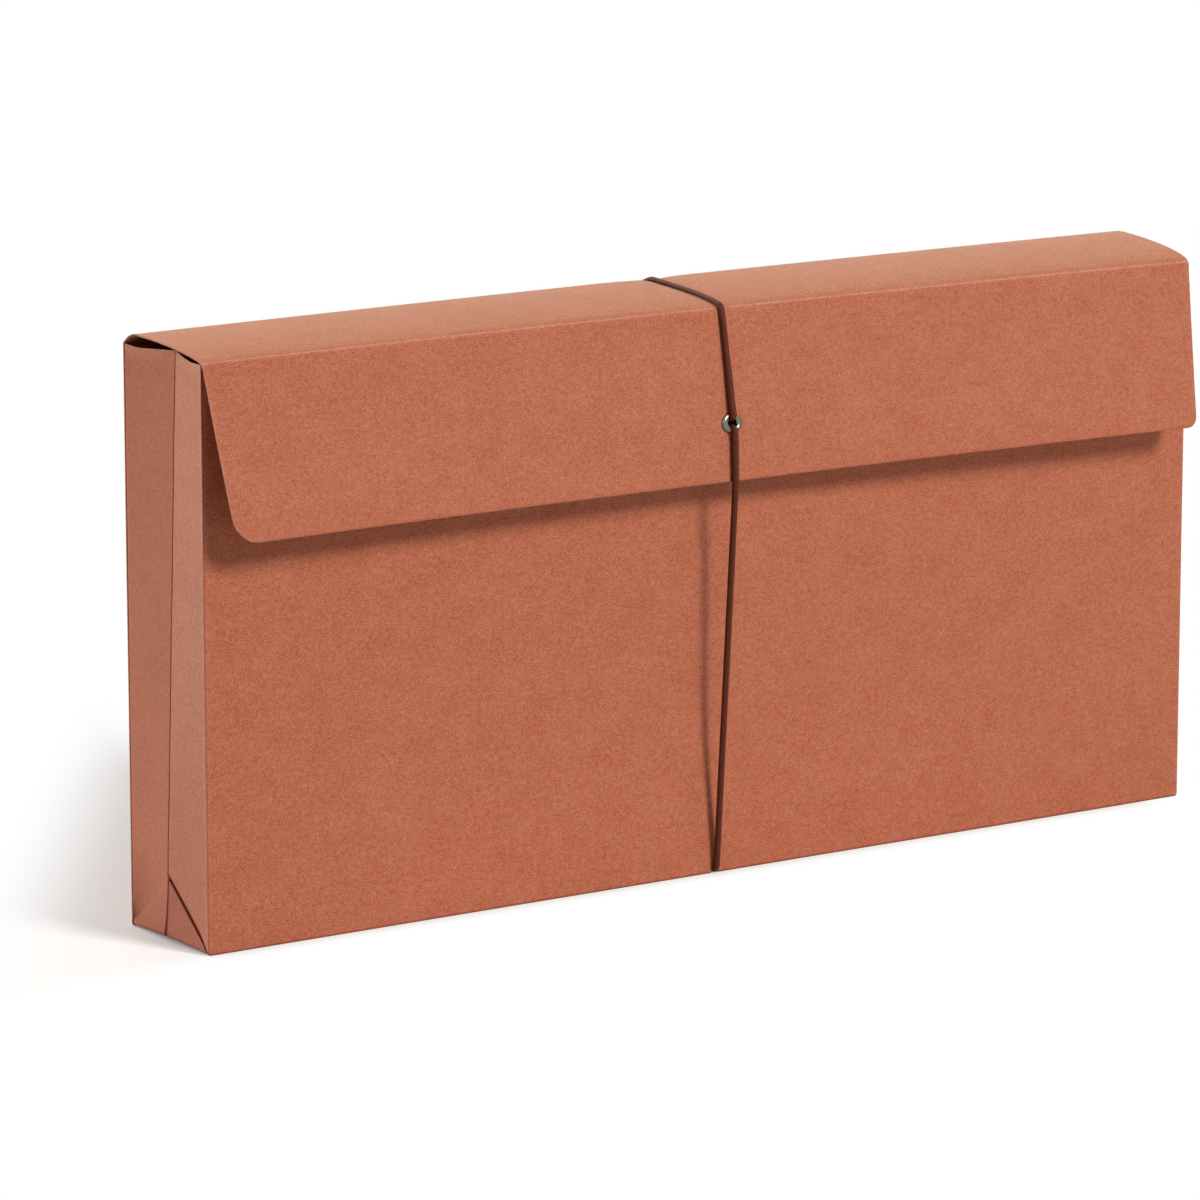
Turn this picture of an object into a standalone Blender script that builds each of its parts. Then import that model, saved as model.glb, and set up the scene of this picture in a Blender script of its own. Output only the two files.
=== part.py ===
"""File wallet of fibre board, standing closed.

A back panel carries on over the top as a spine and a flap. A front panel hangs on three
pleated gussets, one down each end and one along the bottom. One elastic cord runs round
the whole wallet and is knotted behind an eyelet in the flap.

X runs along the wallet, the front faces -Y and Z is up. The origin is on the ground, under
the middle of everything.
"""

import math

import bmesh
import bpy
from mathutils import Quaternion, Vector

# Panels and flap, in metres
WIDTH = 0.457
HEIGHT = 0.219
DEPTH = 0.055
BOARD = 0.0008
FLAP_LENGTH = 0.066
FLAP_TILT = math.radians(13.0)
FLAP_TAPER = 0.005
FLAP_CORNER = 0.009
SPINE_CROWN = 0.0048
CROWN_REAR = 0.4
CROWN_FRONT = 0.8
SPINE_STEPS = 14

# Gussets: one pleat each, glued inside the panels by a tab at either side
GUSSET_BOARD = 0.0004
GUSSET_FOLD = math.radians(6.0)
TAB_WIDTH = 0.018
END_INSET = 0.0010
BOTTOM_RISE = 0.0032
MITRE_RISE = 0.0018

# Elastic cord, its knot and the eyelet
CORD_DIAMETER = 0.0026
CORD_LIFT = 0.00025
CORD_BEND = 0.00205
NOTCH_HEIGHT = 0.0034
EYELET_DROP = 0.0436
EYELET_OFFSET = -0.0018
EYELET_BORE = 0.0059
EYELET_WIDTH = 0.0094
EYELET_WALL = 0.0004
EYELET_BACK = 0.0086
KNOT_SIZE = 0.00145
KNOT_STEPS = 48

# Clearances between pieces that touch on the real wallet
GLUE_GAP = 0.0003
FOLD_GAP = 0.0003
STRAND_GAP = 0.0002

BOARD_COLOUR = (0.52, 0.17, 0.09)
GUSSET_COLOUR = (0.46, 0.19, 0.11)
CORD_COLOUR = (0.10, 0.045, 0.03)
NICKEL_COLOUR = (0.72, 0.70, 0.67)

# Sizes that follow from the ones above
CORD_RADIUS = CORD_DIAMETER / 2
HALF_WIDTH = WIDTH / 2
PANEL_TOP = HEIGHT - BOARD - GLUE_GAP
BACK_FACE = DEPTH / 2
TAB_BACK = BACK_FACE - BOARD - GLUE_GAP
HINGE_Y = TAB_BACK - GUSSET_BOARD - FOLD_GAP
HINGE_X = HALF_WIDTH - END_INSET - GUSSET_BOARD
HINGE_Z = BOTTOM_RISE + GUSSET_BOARD
HALF_PLEAT = (HINGE_Y - GUSSET_BOARD * math.sin(GUSSET_FOLD)) / math.cos(GUSSET_FOLD)
MITRE_START = HINGE_Z + MITRE_RISE
CREASE_Y = -(BACK_FACE + GLUE_GAP + BOARD / math.cos(FLAP_TILT))
SPINE_DEPTH = BACK_FACE - CREASE_Y
CORD_STANDOFF = GLUE_GAP + CORD_RADIUS
NOTCH_HALF = CORD_RADIUS + GLUE_GAP
RIM_RADIUS = (EYELET_WIDTH - EYELET_BORE) / 4
RIM_CENTRE = EYELET_BORE / 2 + RIM_RADIUS
STRAND_ARC = RIM_RADIUS + CORD_RADIUS + STRAND_GAP
FRONT_REACH = -CREASE_Y + FLAP_LENGTH * math.sin(FLAP_TILT) + CORD_STANDOFF + CORD_RADIUS
BACK_REACH = BACK_FACE + CORD_STANDOFF + CORD_RADIUS
GROUND_SHIFT = (FRONT_REACH - BACK_REACH) / 2


def finish(obj, colour, roughness, metallic=0.0):
    """Give an object its own Principled material."""
    material = bpy.data.materials.new(obj.name + "_finish")
    material.use_nodes = True
    shader = material.node_tree.nodes["Principled BSDF"]
    shader.inputs["Base Color"].default_value = (*colour, 1.0)
    shader.inputs["Roughness"].default_value = roughness
    shader.inputs["Metallic"].default_value = metallic
    obj.data.materials.append(material)


def attach(obj, parent, place=(0.0, 0.0, 0.0)):
    """Link an object under its parent, with its origin at a place in the parent's frame."""
    bpy.context.collection.objects.link(obj)
    obj.parent = parent
    obj.location = place
    return obj


def plate(name, rings, to_local, thickness):
    """Make a flat sheet from an outline, with any further rings as holes.

    to_local(a, b, c) turns outline coordinates and a depth into the sheet's own frame.
    """
    bm = bmesh.new()
    for ring in rings:
        verts = [bm.verts.new(to_local(a, b, 0.0)) for a, b in ring]
        for index in range(len(verts)):
            bm.edges.new((verts[index - 1], verts[index]))
    bmesh.ops.triangle_fill(bm, use_beauty=True, use_dissolve=False, edges=bm.edges[:])
    sheet = bmesh.ops.extrude_face_region(bm, geom=bm.faces[:])
    moved = [item for item in sheet["geom"] if isinstance(item, bmesh.types.BMVert)]
    bmesh.ops.translate(bm, verts=moved, vec=to_local(0, 0, thickness) - to_local(0, 0, 0))
    bmesh.ops.recalc_face_normals(bm, faces=bm.faces[:])
    mesh = bpy.data.meshes.new(name)
    bm.to_mesh(mesh)
    bm.free()
    return bpy.data.objects.new(name, mesh)


def arc(centre, radius, start, end, steps):
    """Points on an arc between two angles in degrees, both ends included."""
    points = []
    for step in range(steps + 1):
        angle = math.radians(start + (end - start) * step / steps)
        points.append((centre[0] + radius * math.cos(angle), centre[1] + radius * math.sin(angle)))
    return points


def panel_outline():
    """A panel's outline, with the dent that the cord presses into its bottom edge."""
    dent = arc((EYELET_OFFSET, NOTCH_HEIGHT - NOTCH_HALF), NOTCH_HALF, 180, 0, 8)
    outline = [(-HALF_WIDTH, 0.0), (EYELET_OFFSET - NOTCH_HALF, 0.0)]
    outline += dent
    outline += [(EYELET_OFFSET + NOTCH_HALF, 0.0), (HALF_WIDTH, 0.0)]
    return outline


def end_tab_outline(side):
    """The tab of an end gusset, mitred where it meets the bottom tab."""
    outer = side * (HALF_WIDTH - END_INSET)
    inner = outer - side * TAB_WIDTH
    foot = BOTTOM_RISE + FOLD_GAP * math.sqrt(2)
    return [(outer, foot), (inner, foot + TAB_WIDTH), (inner, PANEL_TOP), (outer, PANEL_TOP)]


def bottom_tab_outline():
    """The tab of the bottom gusset, mitred at both ends."""
    reach = HALF_WIDTH - END_INSET
    top = BOTTOM_RISE + TAB_WIDTH
    return [(-reach, BOTTOM_RISE), (reach, BOTTOM_RISE), (reach - TAB_WIDTH, top), (TAB_WIDTH - reach, top)]


def make_tabs(word, parent, place, face_y, inward):
    """The three glue tabs inside one panel. inward is the way into the wallet along Y."""
    def to_local(a, b, c):
        return Vector((a, face_y + inward * c, b)) - Vector(place)

    shapes = {
        "left_" + word + "_tab": end_tab_outline(-1),
        "right_" + word + "_tab": end_tab_outline(1),
        "bottom_" + word + "_tab": bottom_tab_outline(),
    }
    for name, outline in shapes.items():
        tab = attach(plate(name, [outline], to_local, GUSSET_BOARD), parent)
        finish(tab, GUSSET_COLOUR, 0.85)


def make_back(root):
    """The back panel, whose outer face is at the back."""
    outline = panel_outline() + [(HALF_WIDTH, HEIGHT - FOLD_GAP), (-HALF_WIDTH, HEIGHT - FOLD_GAP)]

    def to_local(a, b, c):
        return Vector((a, BACK_FACE - c, b))

    back = attach(plate("back_panel", [outline], to_local, BOARD), root)
    finish(back, BOARD_COLOUR, 0.8)
    make_tabs("rear", back, (0.0, 0.0, 0.0), TAB_BACK, -1)
    return back


def make_front(left_front):
    """The front panel, which hangs on the left gusset's front fold line."""
    place = Vector((-HINGE_X, -HINGE_Y, 0.0))
    outline = panel_outline() + [(HALF_WIDTH, PANEL_TOP), (-HALF_WIDTH, PANEL_TOP)]

    def to_local(a, b, c):
        return Vector((a, c - BACK_FACE, b)) - place

    front = plate("front_panel", [outline], to_local, BOARD)
    attach(front, left_front, (GUSSET_BOARD, -HALF_PLEAT, 0.0))
    front.rotation_euler.z = GUSSET_FOLD
    finish(front, BOARD_COLOUR, 0.8)
    make_tabs("front", front, place, -TAB_BACK, 1)


def end_half_outline():
    """Half of an end gusset: distance from its fold line, and height. Its foot is mitred."""
    foot = MITRE_START + HALF_PLEAT
    return [(0.0, MITRE_START), (HALF_PLEAT - FOLD_GAP / 2, foot), (HALF_PLEAT - FOLD_GAP / 2, PANEL_TOP),
            (0.0, PANEL_TOP)]


def tuck_outline():
    """Half of the corner tuck below the mitre, measured from where the mitre starts."""
    slit = FOLD_GAP * math.sqrt(2)
    reach = HALF_PLEAT - FOLD_GAP
    foot = BOTTOM_RISE - MITRE_START
    return [(0.0, foot), (reach, foot), (reach, reach - slit), (0.0, -slit)]


def tuck_turn():
    """How far a tuck is folded out along its mitre when the pleat is at its resting fold."""
    sine = math.sin(GUSSET_FOLD)
    return 2 * math.asin(math.sqrt(2) * sine / math.sqrt(1 + sine * sine))


def make_end_gusset(word, side, back):
    """One end gusset: two halves of a pleat that folds inwards, each with its corner tuck."""
    def rear_local(a, b, c):
        return Vector((side * c, -a, b))

    rear = attach(plate(word + "_gusset_rear", [end_half_outline()], rear_local, GUSSET_BOARD), back,
                  (side * HINGE_X, HINGE_Y, 0.0))
    rear.rotation_euler.z = -side * GUSSET_FOLD
    finish(rear, GUSSET_COLOUR, 0.85)

    def front_local(a, b, c):
        return Vector((-side * c, a - HALF_PLEAT, b))

    front = attach(plate(word + "_gusset_front", [end_half_outline()], front_local, GUSSET_BOARD), rear,
                   (side * GUSSET_BOARD, -HALF_PLEAT, 0.0))
    front.rotation_euler.z = 2 * side * GUSSET_FOLD
    finish(front, GUSSET_COLOUR, 0.85)

    def rear_tuck_local(a, b, c):
        return Vector((-side * c, -a, b))

    rear_tuck = attach(plate(word + "_rear_tuck", [tuck_outline()], rear_tuck_local, GUSSET_BOARD), rear,
                       (side * GUSSET_BOARD, 0.0, MITRE_START))
    rear_tuck.rotation_mode = "QUATERNION"
    rear_tuck.rotation_quaternion = Quaternion((0.0, -side, side), tuck_turn())
    finish(rear_tuck, GUSSET_COLOUR, 0.85)

    def front_tuck_local(a, b, c):
        return Vector((-side * c, a, b))

    front_tuck = attach(plate(word + "_front_tuck", [tuck_outline()], front_tuck_local, GUSSET_BOARD), front,
                        (0.0, -HALF_PLEAT, MITRE_START))
    front_tuck.rotation_mode = "QUATERNION"
    front_tuck.rotation_quaternion = Quaternion((0.0, -side, -side), tuck_turn())
    finish(front_tuck, GUSSET_COLOUR, 0.85)
    return front


def make_bottom_gusset(back):
    """The bottom gusset: two halves of a pleat that folds upwards."""
    reach = HINGE_X - FOLD_GAP
    near = 0.0
    far = HALF_PLEAT - FOLD_GAP / 2
    outline = [(-reach, near), (reach, near), (reach, far), (-reach, far)]

    def rear_local(a, b, c):
        return Vector((a, -b, -c))

    rear = attach(plate("bottom_gusset_rear", [outline], rear_local, GUSSET_BOARD), back,
                  (0.0, HINGE_Y, HINGE_Z))
    rear.rotation_euler.x = -GUSSET_FOLD
    finish(rear, GUSSET_COLOUR, 0.85)

    def front_local(a, b, c):
        return Vector((a, b - HALF_PLEAT, c))

    front = attach(plate("bottom_gusset_front", [outline], front_local, GUSSET_BOARD), rear,
                   (0.0, -HALF_PLEAT, -GUSSET_BOARD))
    front.rotation_euler.x = 2 * GUSSET_FOLD
    finish(front, GUSSET_COLOUR, 0.85)


def spine_point(share):
    """A point of the spine's outer face, by its share of the depth from the rear crease."""
    peak = CROWN_REAR / (CROWN_REAR + CROWN_FRONT)
    highest = peak ** CROWN_REAR * (1 - peak) ** CROWN_FRONT
    rise = share ** CROWN_REAR * (1 - share) ** CROWN_FRONT / highest
    return Vector((BACK_FACE - share * SPINE_DEPTH, HEIGHT + SPINE_CROWN * rise))


def spine_line():
    """The spine's outer face from the rear crease to the front crease, closer at the ends."""
    points = []
    for step in range(SPINE_STEPS + 1):
        share = (1 - math.cos(math.pi * step / SPINE_STEPS)) / 2
        points.append(spine_point(share))
    return points


def offset_line(points, distance):
    """Move a line sideways, to its left as it is walked."""
    moved = []
    for index, point in enumerate(points):
        before = points[max(index - 1, 0)]
        after = points[min(index + 1, len(points) - 1)]
        along = (after - before).normalized()
        moved.append(point + Vector((-along.y, along.x)) * distance)
    return moved


def shortened(points, start, end):
    """Trim the first and last stretch of a line by a length."""
    first = points[0] + (points[1] - points[0]).normalized() * start
    last = points[-1] + (points[-2] - points[-1]).normalized() * end
    return [first] + points[1:-1] + [last]


def make_spine(back):
    """The arched spine, which turns on the back panel's top edge."""
    outer = shortened(spine_line(), BOARD * 0.75, FOLD_GAP)
    inner = offset_line(outer, BOARD)
    place = Vector((0.0, BACK_FACE, HEIGHT))
    section = [(point.x, point.y) for point in outer + inner[::-1]]

    def to_local(a, b, c):
        return Vector((c - HALF_WIDTH, a, b)) - place

    spine = attach(plate("flap_spine", [section], to_local, WIDTH), back, place)
    for polygon in spine.data.polygons:
        polygon.use_smooth = abs(polygon.normal.x) < 0.5
    finish(spine, BOARD_COLOUR, 0.8)
    return spine


def flap_outline():
    """The flap from its crease down, with slanted ends and round lower corners."""
    low = -FLAP_LENGTH
    slant = math.degrees(math.atan2(FLAP_TAPER, FLAP_LENGTH))
    reach = HALF_WIDTH - FLAP_TAPER
    ease = FLAP_CORNER * math.tan(math.radians(45 - slant / 2))
    centre = (reach - ease, low + FLAP_CORNER)
    right = arc(centre, FLAP_CORNER, -90, -slant, 6)
    left = [(-x, z) for x, z in reversed(right)]
    top = -BOARD
    shift = FLAP_TAPER * BOARD / FLAP_LENGTH
    return left + right + [(HALF_WIDTH - shift, top), (shift - HALF_WIDTH, top)]


def make_flap(spine):
    """The flap, which hangs from the spine's front crease and stands off at its lower edge."""
    hole = arc((EYELET_OFFSET, -EYELET_DROP), EYELET_BORE / 2 + EYELET_WALL + GLUE_GAP, 0, 345, 23)

    def to_local(a, b, c):
        return Vector((a, c, b))

    flap = attach(plate("flap_front", [flap_outline(), hole], to_local, BOARD), spine,
                  (0.0, CREASE_Y - BACK_FACE, 0.0))
    flap.rotation_euler.x = -FLAP_TILT
    finish(flap, BOARD_COLOUR, 0.8)
    return flap


def make_eyelet(flap):
    """A turned eyelet: a rolled rim in front, a barrel through the board and a flange behind."""
    bore = EYELET_BORE / 2
    barrel = bore + EYELET_WALL
    back_face = -(BOARD + GLUE_GAP)
    section = arc((RIM_CENTRE, GLUE_GAP), RIM_RADIUS, 180, 0, 8)
    section += [(barrel, GLUE_GAP), (barrel, back_face), (EYELET_BACK / 2, back_face)]
    section += [(EYELET_BACK / 2, back_face - EYELET_WALL), (bore, back_face - EYELET_WALL)]
    bm = bmesh.new()
    verts = [bm.verts.new((radius, -height, 0.0)) for radius, height in section]
    for index in range(len(verts)):
        bm.edges.new((verts[index - 1], verts[index]))
    bmesh.ops.spin(bm, geom=bm.verts[:] + bm.edges[:], cent=(0, 0, 0), axis=(0, 1, 0),
                   angle=2 * math.pi, steps=28, use_merge=True)
    bmesh.ops.recalc_face_normals(bm, faces=bm.faces[:])
    mesh = bpy.data.meshes.new("eyelet")
    bm.to_mesh(mesh)
    bm.free()
    mesh.shade_smooth()
    mesh.set_sharp_from_angle(angle=math.radians(50))
    eyelet = attach(bpy.data.objects.new("eyelet", mesh), flap, (EYELET_OFFSET, 0.0, -EYELET_DROP))
    finish(eyelet, NICKEL_COLOUR, 0.25, 1.0)


def tube(name, points, closed=False):
    """A round tube of the cord's thickness along a line of points."""
    curve = bpy.data.curves.new(name, "CURVE")
    curve.dimensions = "3D"
    curve.bevel_depth = CORD_RADIUS
    curve.bevel_resolution = 2
    curve.use_fill_caps = True
    spline = curve.splines.new("POLY")
    spline.points.add(len(points) - 1)
    for slot, point in zip(spline.points, points):
        slot.co = (*point, 1.0)
    spline.use_cyclic_u = closed
    spline.use_smooth = True
    return bpy.data.objects.new(name, curve)


def on_flap(rise, height):
    """A point on the flap's outer side, by its rise above the eyelet and height off the face."""
    slope = Vector((math.sin(FLAP_TILT), math.cos(FLAP_TILT)))
    outward = Vector((-math.cos(FLAP_TILT), math.sin(FLAP_TILT)))
    return Vector((CREASE_Y, HEIGHT)) + slope * (rise - EYELET_DROP) + outward * height


def strand_at_eyelet(way):
    """One end of the cord: out of the bore, over the rim and down onto the flap."""
    end_depth = -(BOARD + GLUE_GAP + EYELET_WALL)
    line = [(RIM_CENTRE - STRAND_ARC, end_depth)]
    line += arc((RIM_CENTRE, GLUE_GAP), STRAND_ARC, 180, 60, 5)
    line += [(RIM_CENTRE + 2 * STRAND_ARC, CORD_STANDOFF)]
    return [on_flap(way * rise, height) for rise, height in line]


def cord_route():
    """The cord's centre line, in Y and Z, from one end in the eyelet round to the other."""
    tilt = math.degrees(FLAP_TILT)
    crease = (CREASE_Y, HEIGHT)
    lip = on_flap(EYELET_DROP - FLAP_LENGTH, 0.0)
    over_spine = offset_line(spine_line(), -CORD_STANDOFF)[::-1]
    under = CORD_LIFT + CORD_RADIUS
    turn = BACK_FACE + CORD_STANDOFF - CORD_BEND
    lean = math.degrees(math.atan(abs(lip.x + turn) / (lip.y - under)))

    route = strand_at_eyelet(1)
    route += [Vector(point) for point in arc(crease, CORD_STANDOFF, 180 - tilt, 130, 2)]
    route += over_spine[1:]
    route += [Vector((BACK_FACE + CORD_STANDOFF, HEIGHT - CORD_DIAMETER))]
    route += [Vector((BACK_FACE + CORD_STANDOFF, HEIGHT / 2))]
    route += [Vector(point) for point in arc((turn, under + CORD_BEND), CORD_BEND, 0, -90, 4)]
    route += [Vector((0.0, under))]
    route += [Vector(point) for point in arc((-turn, under + CORD_BEND), CORD_BEND, -90, lean - 180, 4)]
    route += [Vector(point) for point in arc(lip, CORD_STANDOFF, 180 + lean, 180 - tilt, 3)]
    route += strand_at_eyelet(-1)[::-1]
    return route


def make_cord(flap):
    """The elastic cord as it lies closed, carried by the flap at the eyelet."""
    crease = Vector((CREASE_Y, HEIGHT))
    points = []
    for point in cord_route():
        across, up = point - crease
        back = across * math.cos(FLAP_TILT) - up * math.sin(FLAP_TILT)
        rise = across * math.sin(FLAP_TILT) + up * math.cos(FLAP_TILT)
        points.append((EYELET_OFFSET, back, rise))
    cord = attach(tube("elastic_cord", points), flap)
    finish(cord, CORD_COLOUR, 0.9)


def make_knot(flap):
    """The overhand knot behind the eyelet that keeps both ends of the cord from pulling out."""
    lift = CORD_RADIUS + GLUE_GAP / 2
    depth = BOARD + EYELET_WALL + 2 * GLUE_GAP + CORD_RADIUS + lift
    points = []
    for step in range(KNOT_STEPS):
        turn = 2 * math.pi * step / KNOT_STEPS
        across = KNOT_SIZE * (math.sin(turn) + 2 * math.sin(2 * turn))
        rise = KNOT_SIZE * (math.cos(turn) - 2 * math.cos(2 * turn))
        weave = -lift * math.sin(3 * turn)
        points.append((across, depth + weave, rise))
    knot = attach(tube("cord_knot", points, closed=True), flap, (EYELET_OFFSET, 0.0, -EYELET_DROP))
    finish(knot, CORD_COLOUR, 0.9)


for old in list(bpy.data.objects):
    bpy.data.objects.remove(old, do_unlink=True)

wallet = bpy.data.objects.new("wallet", None)
bpy.context.collection.objects.link(wallet)
wallet.location = (0.0, GROUND_SHIFT, 0.0)

back_panel = make_back(wallet)
left_gusset_front = make_end_gusset("left", -1, back_panel)
make_end_gusset("right", 1, back_panel)
make_bottom_gusset(back_panel)
make_front(left_gusset_front)
flap_spine = make_spine(back_panel)
flap_front = make_flap(flap_spine)
make_eyelet(flap_front)
make_cord(flap_front)
make_knot(flap_front)
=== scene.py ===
import math

import bpy
import numpy as np
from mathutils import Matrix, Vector, noise
from mathutils.geometry import interpolate_bezier


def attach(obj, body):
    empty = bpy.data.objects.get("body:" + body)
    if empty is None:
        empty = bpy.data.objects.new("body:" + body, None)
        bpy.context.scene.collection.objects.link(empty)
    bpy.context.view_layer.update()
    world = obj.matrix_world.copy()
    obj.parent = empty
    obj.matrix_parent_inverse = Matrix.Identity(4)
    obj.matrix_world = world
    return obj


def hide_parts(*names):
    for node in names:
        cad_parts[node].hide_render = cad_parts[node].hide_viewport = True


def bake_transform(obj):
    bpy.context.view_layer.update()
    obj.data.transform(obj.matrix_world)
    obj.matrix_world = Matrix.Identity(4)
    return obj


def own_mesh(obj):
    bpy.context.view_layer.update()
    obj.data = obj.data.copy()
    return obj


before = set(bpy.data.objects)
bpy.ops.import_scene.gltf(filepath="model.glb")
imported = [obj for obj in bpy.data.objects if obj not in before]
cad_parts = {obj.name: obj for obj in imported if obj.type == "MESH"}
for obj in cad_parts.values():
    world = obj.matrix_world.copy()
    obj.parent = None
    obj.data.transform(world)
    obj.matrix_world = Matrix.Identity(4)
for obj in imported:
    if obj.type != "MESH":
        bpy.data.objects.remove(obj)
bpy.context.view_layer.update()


# Back board and spine: one sheet of terracotta fibre board, pressed from dyed pulp.
# It stands as the back of the wallet, is scored at the top and arches forward over the opening.
# The ends of the arch differ, because the board was folded by hand.

half_width = 0.2285
wallet_height = 0.219
board_thickness = 0.0006
back_y = 0.0354839
crease_y = -0.0206371
spine_depth = back_y - crease_y
cord_x = -0.0018
rear_x = -0.0022


def wire(tree, kind, inputs, **settings):
    """Add a node, set its options, and link or fill its sockets."""
    node = tree.nodes.new(kind)
    for option, value in settings.items():
        setattr(node, option, value)
    for socket, value in inputs.items():
        if isinstance(value, bpy.types.NodeSocket):
            tree.links.new(value, node.inputs[socket])
        else:
            node.inputs[socket].default_value = value
    return node


def ranged(tree, value, source, target, curve="LINEAR"):
    """A value carried from one range to another."""
    return wire(tree, "ShaderNodeMapRange",
                {"Value": value, "From Min": source[0], "From Max": source[1],
                 "To Min": target[0], "To Max": target[1]}, interpolation_type=curve).outputs[0]


def blank_material(name):
    """A new material and its shader."""
    material = bpy.data.materials.new(name)
    material.use_nodes = True
    return material, material.node_tree, material.node_tree.nodes["Principled BSDF"]


def pulp_stock(name, deep, pale, rubbed, shine, streak=0.0, sheen=0.30):
    """Pressed pulp: mottled dye, short fibres and dark flecks. Where the sheet's wear-and-light attribute is
    above nought the dye is paled, for wear and as painted sheen and highlights;
    below nought the sheet is darkened as painted shade."""
    material, tree, shader = blank_material(name)
    place = wire(tree, "ShaderNodeAttribute", {}, attribute_name="flat")
    in_mm = wire(tree, "ShaderNodeVectorMath", {0: place.outputs["Vector"], "Scale": 1000.0},
                 operation="SCALE")
    spot = in_mm.outputs["Vector"]

    def pulp(size, detail=1.0):
        return wire(tree, "ShaderNodeTexNoise", {"Vector": spot, "Scale": 1.0 / size, "Detail": detail,
                                                 "Roughness": 0.9}).outputs["Fac"]

    clump, mottle, tooth = pulp(8.0), pulp(2.0), pulp(0.6)
    cloud = pulp(24.0)
    fibres = []
    for stretch in ((2.3, 0.42, 1.0), (0.38, 2.1, 1.0)):
        drawn = wire(tree, "ShaderNodeVectorMath", {0: spot, 1: stretch}, operation="MULTIPLY")
        fibres.append(wire(tree, "ShaderNodeTexNoise", {"Vector": drawn.outputs["Vector"], "Scale": 1.1,
                                                        "Detail": 3.0, "Distortion": 0.8}).outputs["Fac"])
    weights = ((clump, 0.17), (mottle, 0.42), (tooth, 1.25), (cloud, 0.13),
               (fibres[0], 0.20 + streak), (fibres[1], 0.20))
    tone = 0.5 - sum(weight for _, weight in weights) / 2
    for source, weight in weights:
        tone = wire(tree, "ShaderNodeMath", {0: source, 1: weight, 2: tone},
                    operation="MULTIPLY_ADD").outputs[0]
    dye = wire(tree, "ShaderNodeValToRGB", {"Fac": tone})
    dye.color_ramp.elements[0].position = 0.25
    dye.color_ramp.elements[0].color = (*deep, 1.0)
    dye.color_ramp.elements[1].position = 0.75
    dye.color_ramp.elements[1].color = (*pale, 1.0)
    hue = wire(tree, "ShaderNodeMath", {0: pulp(4.5), 1: 0.5}, operation="SUBTRACT")
    warmth = wire(tree, "ShaderNodeVectorMath",
                  {0: hue.outputs[0], 1: (0.02, 0.006, -0.030), 2: dye.outputs["Color"]},
                  operation="MULTIPLY_ADD")

    fleck = wire(tree, "ShaderNodeTexVoronoi", {"Vector": spot, "Scale": 0.55})
    near_fleck = ranged(tree, fleck.outputs["Distance"], (0.06, 0.2), (1.0, 0.0))
    chosen = ranged(tree, fleck.outputs["Color"], (0.55, 0.8), (0.0, 0.4))
    fleck_share = wire(tree, "ShaderNodeMath", {0: near_fleck, 1: chosen}, operation="MULTIPLY")
    dark = [channel * 0.62 for channel in deep]
    flecked = wire(tree, "ShaderNodeMix",
                   {"Factor": fleck_share.outputs[0], "A": warmth.outputs["Vector"], "B": (*dark, 1.0)},
                   data_type="RGBA")

    wear_and_painted_light = wire(tree, "ShaderNodeAttribute", {}, attribute_name="wear_and_painted_light")
    patchy = ranged(tree, tone, (0.3, 0.7), (0.25, 1.25))
    pale_share = wire(tree, "ShaderNodeMath", {0: wear_and_painted_light.outputs["Fac"], 1: patchy}, operation="MULTIPLY")
    pale_share.use_clamp = True
    # Paler towards the pale tone where the attribute is above nought: wear, and painted sheen and highlights.
    worn = wire(tree, "ShaderNodeMix",
                {"Factor": pale_share.outputs[0], "A": flecked.outputs["Result"], "B": (*rubbed, 1.0)},
                data_type="RGBA")
    # Darker towards a deep brown where it is below nought: painted shade.
    painted_shade_share = wire(tree, "ShaderNodeMath", {0: wear_and_painted_light.outputs["Fac"], 1: -1.0}, operation="MULTIPLY")
    painted_shade_share.use_clamp = True
    painted_shade = [channel * share for channel, share in zip(deep, (0.36, 0.15, 0.08))]
    shaded_colour = wire(tree, "ShaderNodeMix",
                  {"Factor": painted_shade_share.outputs[0], "A": worn.outputs["Result"], "B": (*painted_shade, 1.0)},
                  data_type="RGBA")
    tree.links.new(shaded_colour.outputs["Result"], shader.inputs["Base Color"])

    surface = wire(tree, "ShaderNodeMath", {0: mottle, 1: 0.6, 2: tooth}, operation="MULTIPLY_ADD")
    grain = wire(tree, "ShaderNodeBump", {"Height": surface.outputs[0], "Strength": 0.12, "Distance": 0.0001})
    tree.links.new(grain.outputs["Normal"], shader.inputs["Normal"])
    gloss = ranged(tree, tooth, (0.3, 0.7), (shine - 0.05, shine + 0.07))
    tree.links.new(gloss, shader.inputs["Roughness"])
    shader.inputs["Specular IOR Level"].default_value = 0.3
    shader.inputs["Sheen Weight"].default_value = sheen
    shader.inputs["Sheen Roughness"].default_value = 0.38
    shader.inputs["Sheen Tint"].default_value = (0.96, 1.0, 0.70, 1.0)
    return material


board_face = pulp_stock("terracotta_board", deep=(0.338, 0.064, 0.016), pale=(0.565, 0.197, 0.111),
                        rubbed=(0.66, 0.32, 0.20), shine=0.7)
board_cut = pulp_stock("cut_board_edge", deep=(0.36, 0.105, 0.055), pale=(0.55, 0.21, 0.12),
                       rubbed=(0.70, 0.38, 0.26), shine=0.75)


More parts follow.
